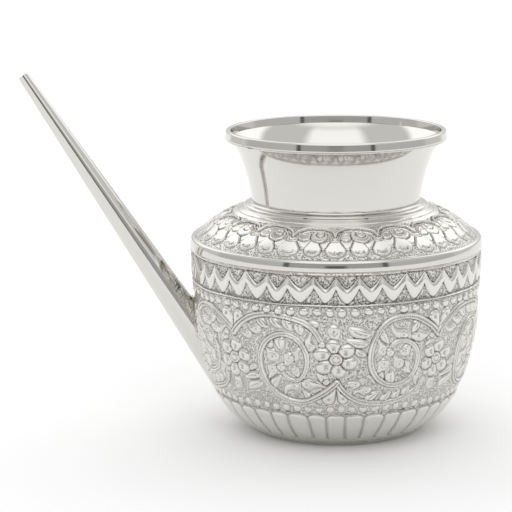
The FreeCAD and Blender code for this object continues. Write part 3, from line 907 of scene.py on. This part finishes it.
class NeckOperator(bpy.types.Operator):
    """Spin the plain flared neck"""

    bl_idname = "water_pot.neck"
    bl_label = "Polished neck"

    def execute(self, context):
        sizes = context.scene.pot_sizes
        lean = np.array([math.sin(sizes.neck_lean), math.cos(sizes.neck_lean)])
        root = np.array([sizes.root_radius, sizes.root_height]) / MM
        waist = np.array([sizes.neck_waist, sizes.neck_waist_height]) / MM
        mouth = np.array([sizes.mouth_radius, sizes.mouth_height]) / MM
        foot = root - lean * (root[1] - sizes.neck_foot / MM) / lean[1]
        stem, heading = tangent_arc(root, lean, waist, 30)
        flare, _ = tangent_arc(waist, heading, mouth, 30)
        outer = Profile([*np.linspace(foot, root, 6), *stem, *flare])
        inner = np.stack(outer.lifted(outer.along[::-1], -sizes.wall / MM), 1)
        inner[0, 1] = mouth[1]
        piece = spun_ring("neck_collar_polished", [*outer.points, *inner])
        hand_in(piece, "polished_silver", silver("polished"), "neck_collar")
        return {"FINISHED"}


SPOUT_BITE = 0.7            # how deep the spout's end sits in the bowl's wall, in mm
SPOUT_SPARE = 4 * MM        # length below the heel that the bowl's wall cuts off


class SpoutOperator(bpy.types.Operator):
    """Model the tapered spout, cut to fit the bowl's wall"""

    bl_idname = "water_pot.spout"
    bl_label = "Polished spout"

    def execute(self, context):
        sizes = context.scene.pot_sizes
        wall = bowl_profile(sizes)
        core = list(zip(*wall.lifted(wall.along, -SPOUT_BITE)))
        axis = Vector((-math.sin(sizes.spout_tilt), 0, math.cos(sizes.spout_tilt)))
        across = Vector((math.cos(sizes.spout_tilt), 0, math.sin(sizes.spout_tilt)))
        heel_along = wall.at_height(sizes.spout_heel / MM)
        heel_radius = wall.lifted(heel_along, 0.0)[0] * MM
        heel = Vector((-heel_radius, 0, sizes.spout_heel))
        root = heel + across * (sizes.spout_root / 2 - sizes.spout_proud)
        taper = (sizes.spout_root - sizes.spout_tip) / sizes.spout_length
        depth = sizes.spout_length + SPOUT_SPARE
        piece = start(bpy.ops.mesh.primitive_cone_add, "spout_tube_polished", vertices=128,
                      radius1=(sizes.spout_root + taper * SPOUT_SPARE) / 2, radius2=sizes.spout_tip / 2,
                      depth=depth, end_fill_type="NOTHING",
                      location=root + axis * (depth / 2 - SPOUT_SPARE), rotation=(0, -sizes.spout_tilt, 0))
        bpy.ops.object.transform_apply(location=True, rotation=True, scale=True)
        modifier(piece, "SOLIDIFY", thickness=sizes.spout_wall, offset=-1)
        keep_outside(piece, core)
        close_up(CREASE)
        hand_in(piece, "polished_silver", silver("polished"), "spout_tube")
        return {"FINISHED"}


def keep_outside(piece, core):
    """Cut away what lies within the bowl's wall. core is that wall's line in (radius, height), in mm."""
    axis, below = 0.2, 3
    points = [(axis, core[0][1] - below), *core, (axis, core[-1][1])]
    cutter = spun_ring("bowl_core", points, 192)
    bpy.ops.object.select_all(action="DESELECT")
    bpy.context.view_layer.objects.active = piece
    piece.select_set(True)
    modifier(piece, "BOOLEAN", operation="DIFFERENCE", object=cutter, solver="EXACT")
    bpy.data.objects.remove(cutter)


class CadFinishOperator(bpy.types.Operator):
    """Give the CAD pieces that stay their silver"""

    bl_idname = "water_pot.cad_finish"
    bl_label = "Finish of the CAD pieces"

    def execute(self, context):
        for name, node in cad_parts.items():
            kind = "solder" if name.endswith("_solder") else "polished"
            for slot in node.material_slots:
                slot.material = silver(kind)
        return {"FINISHED"}


# Light of the tent's plain walls, then its panels: azimuth from the camera's side, half width, lowest and
# highest rise and softness of the edges in degrees, and the light
TENT_WALLS = 0.9
TENT = (
    (180, 60, 22, 55, 14, 1.75),        # white wall behind
    (0, 180, 72, 90, 12, 1.55),         # roof
    (0, 32, 26, 54, 18, 1.6),           # soft box over the camera
    (0, 100, -90, 11, 8, 0.72),         # foot of the walls
    (0, 38, -90, 15, 5, 0.54),          # opening towards the room
    (-38.5, 1.6, -90, 15, 1.4, 0.12),   # edges of the opening
    (38.5, 1.6, -90, 15, 1.4, 0.12),
    (0, 6, -4, 9, 4, 0.16),             # camera
)


class StageOperator(bpy.types.Operator):
    """Set the floor, the light tent and the camera"""

    bl_idname = "water_pot.stage"
    bl_label = "Stage"

    distance: size("Distance", "From the camera to the pot's axis", 780.8 * MM)
    aim_height: size("Aim height", "Height on the pot's axis that the camera looks at", 60.8 * MM)
    aside: size("Aside", "How far the pot stands right of the picture's middle", 28.07 * MM)
    elevation: FloatProperty(name="Elevation", description="Camera above the horizontal",
                             default=math.radians(11.02), subtype="ANGLE")
    lens: FloatProperty(name="Lens", description="Focal length in millimetres", default=156.1)

    def execute(self, context):
        floor = start(bpy.ops.mesh.primitive_circle_add, "floor_sweep", vertices=96, radius=4.0,
                      fill_type="NGON")
        material, tree = new_material("paper_sweep_matt")
        shader = add(tree, "ShaderNodeBsdfPrincipled", {"Base Color": (*context.scene.pot_finish.floor, 1),
                                                        "Roughness": 0.9})
        add(tree, "ShaderNodeOutputMaterial", {"Surface": shader.outputs[0]})
        floor.data.materials.append(material)
        self.light(context)
        aim = Vector((0, 0, self.aim_height))
        toward = Vector((0, -math.cos(self.elevation), math.sin(self.elevation)))
        bpy.ops.object.camera_add(location=aim + toward * self.distance)
        camera = bpy.context.object
        look = (-toward).to_track_quat("-Z", "Y").to_matrix()
        turn = Matrix.Rotation(math.atan(self.aside / self.distance), 3, "Y")
        camera.rotation_euler = (look @ turn).to_euler()
        camera.data.lens = self.lens
        camera.data.sensor_width = 36
        context.scene.camera = camera
        context.scene.view_settings.view_transform = "Standard"
        return {"FINISHED"}

    def light(self, context):
        """White tent, open towards the camera: each panel of TENT covers those before it."""
        world = bpy.data.worlds.new("silver_tent")
        context.scene.world = world
        world.use_nodes = True
        tree = world.node_tree
        tree.nodes.clear()
        way = add(tree, "ShaderNodeSeparateXYZ", {0: add(tree, "ShaderNodeTexCoord").outputs["Generated"]})
        front = add(tree, "ShaderNodeMath", {0: way.outputs["Y"], 1: -1.0}, operation="MULTIPLY")
        turn = add(tree, "ShaderNodeMath", {0: way.outputs["X"], 1: front.outputs[0]}, operation="ARCTAN2")
        rise = add(tree, "ShaderNodeMath", {0: way.outputs["Z"]}, operation="ARCSINE")
        level = TENT_WALLS
        for azimuth, half, low, high, soft, light in TENT:
            azimuth, half, low, high, soft = [math.radians(a) for a in (azimuth, half, low, high, soft)]
            off = add(tree, "ShaderNodeMath", {0: turn.outputs[0], 1: azimuth}, operation="SUBTRACT")
            near = add(tree, "ShaderNodeMath", {0: off.outputs[0], 1: math.pi, 2: -math.pi},
                       operation="WRAP")
            aside = add(tree, "ShaderNodeMath", {0: near.outputs[0]}, operation="ABSOLUTE")
            cover = 1.0
            sides = ((aside, half, half + soft), (rise, low, low - soft), (rise, high, high + soft))
            for value, inner, outer in sides:
                edge = add(tree, "ShaderNodeMapRange", {"Value": value.outputs[0], "From Min": outer,
                                                        "From Max": inner}, interpolation_type="SMOOTHSTEP")
                both = add(tree, "ShaderNodeMath", {0: edge.outputs[0], 1: cover}, operation="MULTIPLY")
                cover = both.outputs[0]
            level = add(tree, "ShaderNodeMix", {"Factor": cover, 2: level, 3: light}).outputs[0]
        sky = add(tree, "ShaderNodeBackground", {"Strength": level})
        add(tree, "ShaderNodeOutputWorld", {"Surface": sky.outputs[0]})


class WaterPotPanel(bpy.types.Panel):
    """Lists the pot's pieces in the sidebar"""

    bl_idname = "VIEW3D_PT_water_pot"
    bl_label = "Silver water pot"
    bl_space_type = "VIEW_3D"
    bl_region_type = "UI"
    bl_category = "Water Pot"

    def draw(self, context):
        for operator in OPERATORS:
            self.layout.operator(operator.bl_idname)
        for group in (context.scene.pot_sizes, context.scene.pot_chasing, context.scene.pot_finish):
            for name in group.__annotations__:
                self.layout.prop(group, name)


OPERATORS = (BowlOperator, ShoulderOperator, RingOperator, NeckOperator, SpoutOperator, CadFinishOperator,
             StageOperator)
GROUPS = {"pot_sizes": PotSizes, "pot_chasing": PotChasing, "pot_finish": PotFinish}


def register():
    for kind in (*GROUPS.values(), *OPERATORS, WaterPotPanel):
        bpy.utils.register_class(kind)
    for name, kind in GROUPS.items():
        setattr(bpy.types.Scene, name, PointerProperty(type=kind))


def unregister():
    for name in GROUPS:
        delattr(bpy.types.Scene, name)
    for kind in (WaterPotPanel, *reversed(OPERATORS), *GROUPS.values()):
        bpy.utils.unregister_class(kind)


def main():
    """Model the pot and its stage."""
    register()
    bpy.ops.water_pot.bowl()
    bpy.ops.water_pot.shoulder()
    bpy.ops.water_pot.rings()
    bpy.ops.water_pot.neck()
    bpy.ops.water_pot.spout()
    bpy.ops.water_pot.cad_finish()
    bpy.ops.water_pot.stage()


if __name__ == "__main__":
    main()
